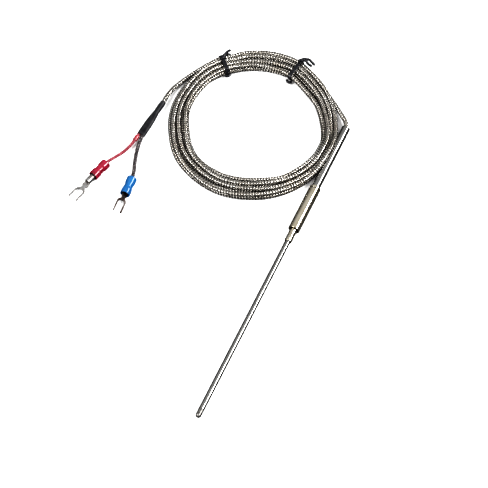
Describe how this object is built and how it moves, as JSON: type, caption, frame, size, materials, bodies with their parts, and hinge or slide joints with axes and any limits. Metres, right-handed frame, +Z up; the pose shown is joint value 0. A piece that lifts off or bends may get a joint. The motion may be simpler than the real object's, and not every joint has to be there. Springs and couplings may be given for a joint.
{
  "type": "thermocouple probe",
  "caption": "Slim closed metal probe with a transition sleeve and rear tube, a coiled braided lead held by twist ties, and coloured fork terminals.",
  "frame": {"origin": "on the surface that the probe lies on, under the middle of the rigid probe from its tip to its rear tube", "axes": "+Y along the probe from its closed tip to its lead, +Z up, +X to the right of the probe seen from above with the tip towards the viewer"},
  "size_m": [0.1238, 0.2326, 0.0075],
  "materials": {
    "stainless_steel": "polished drawn tube",
    "nickel_plate": "bright nickel plate, slightly warm",
    "oxide": "packed powder",
    "nickel_chrome": "drawn wire",
    "nickel_aluminium": "drawn wire",
    "resin": "cast resin",
    "copper": "machined, dull",
    "steel_braid": "woven fine stainless wire",
    "black_shrink": "satin shrunk polyolefin",
    "red_braid": "varnished glass braid",
    "black_braid": "varnished glass braid",
    "red_plastic": "glossy vinyl",
    "blue_plastic": "glossy vinyl",
    "tinned_copper": "stamped and tinned",
    "tie_plastic": "plastic-coated wire"
  },
  "bodies": {
    "root": {"tip_cap": "stainless_steel", "sheath_tube": "stainless_steel", "mineral_core": "oxide", "measuring_junction": "nickel_chrome", "end_seal": "resin", "crimp_neck": "nickel_plate", "front_bush": "copper", "transition_sleeve": "nickel_plate", "potting": "resin", "rear_collar": "nickel_plate", "rear_tube": "stainless_steel", "braid_clamp_ring": "copper", "thermoelement_positive": "nickel_chrome", "thermoelement_negative": "nickel_aluminium", "splice_positive": "copper", "splice_negative": "copper", "core_wire_positive": "red_braid", "core_wire_negative": "black_braid", "lead_probe_end": "steel_braid", "lead_coil": "steel_braid", "lead_terminal_end": "steel_braid", "heat_shrink_boot": "black_shrink", "red_collar": "red_braid", "red_core": "red_braid", "black_core": "black_braid", "red_terminal_sleeve": "red_plastic", "blue_terminal_sleeve": "blue_plastic", "red_fork_terminal": "tinned_copper", "blue_fork_terminal": "tinned_copper", "red_core_end": "copper", "black_core_end": "copper", "twist_tie_1": "tie_plastic", "twist_tie_2": "tie_plastic"}
  },
  "joints": []
}
